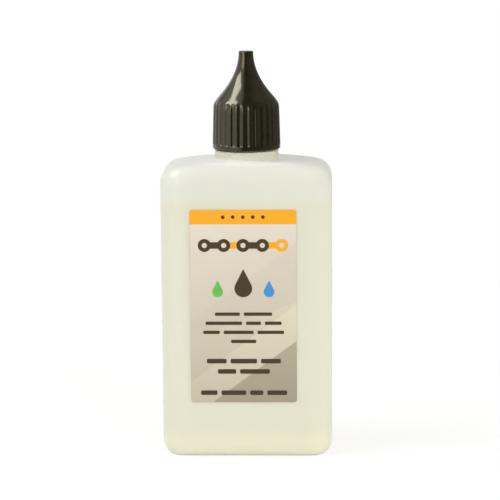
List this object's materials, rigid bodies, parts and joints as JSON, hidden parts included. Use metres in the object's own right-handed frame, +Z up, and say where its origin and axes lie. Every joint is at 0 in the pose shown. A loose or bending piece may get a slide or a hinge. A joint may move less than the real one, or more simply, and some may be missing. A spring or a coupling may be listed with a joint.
{
  "type": "chain lube bottle",
  "caption": "Flat translucent plastic bottle of pale yellow oil with rounded edges, a ribbed black screw cap drawn up to a spire, a dropper insert and a front label.",
  "frame": {"origin": "middle of the standing ring, on the ground", "axes": "+Z up along the neck, +X along the body's width, and the label faces -Y"},
  "size_m": [0.0518, 0.0292, 0.1226],
  "materials": {
    "natural_polyethylene": "translucent, unpigmented, blow moulded",
    "insert_polyethylene": "natural, injection moulded",
    "oil": "clear pale yellow liquid",
    "black_polypropylene": "glossy, injection moulded",
    "seal_foam": "soft pale sealing disc",
    "label_film": "satin printed film",
    "orange_ink": "satin ink",
    "taupe_ink": "satin ink",
    "dark_ink": "satin ink"
  },
  "bodies": {
    "bottle": {"bottle": "natural_polyethylene", "dropper_insert": "insert_polyethylene", "chain_oil": "oil", "label_film": "label_film", "label_orange": "orange_ink", "label_taupe": "taupe_ink", "label_print": "dark_ink"},
    "cap_seal": {"cap_seal": "seal_foam"},
    "cap": {"cap": "black_polypropylene"}
  },
  "joints": [
    {"name": "cap_lift", "type": "slide", "parent": "bottle", "child": "cap_seal", "axis": [0, 0, 1], "range_m": [0, 0.0045]},
    {"name": "cap_turn", "type": "hinge", "parent": "cap_seal", "child": "cap", "pos_m": [0, 0, 0.0932], "axis": [0, 0, 1], "range_deg": [0, 540]}
  ],
  "couplings": [
    {"joint": "cap_lift", "follows": "cap_turn", "m_per_rad": 0.00047746}
  ]
}
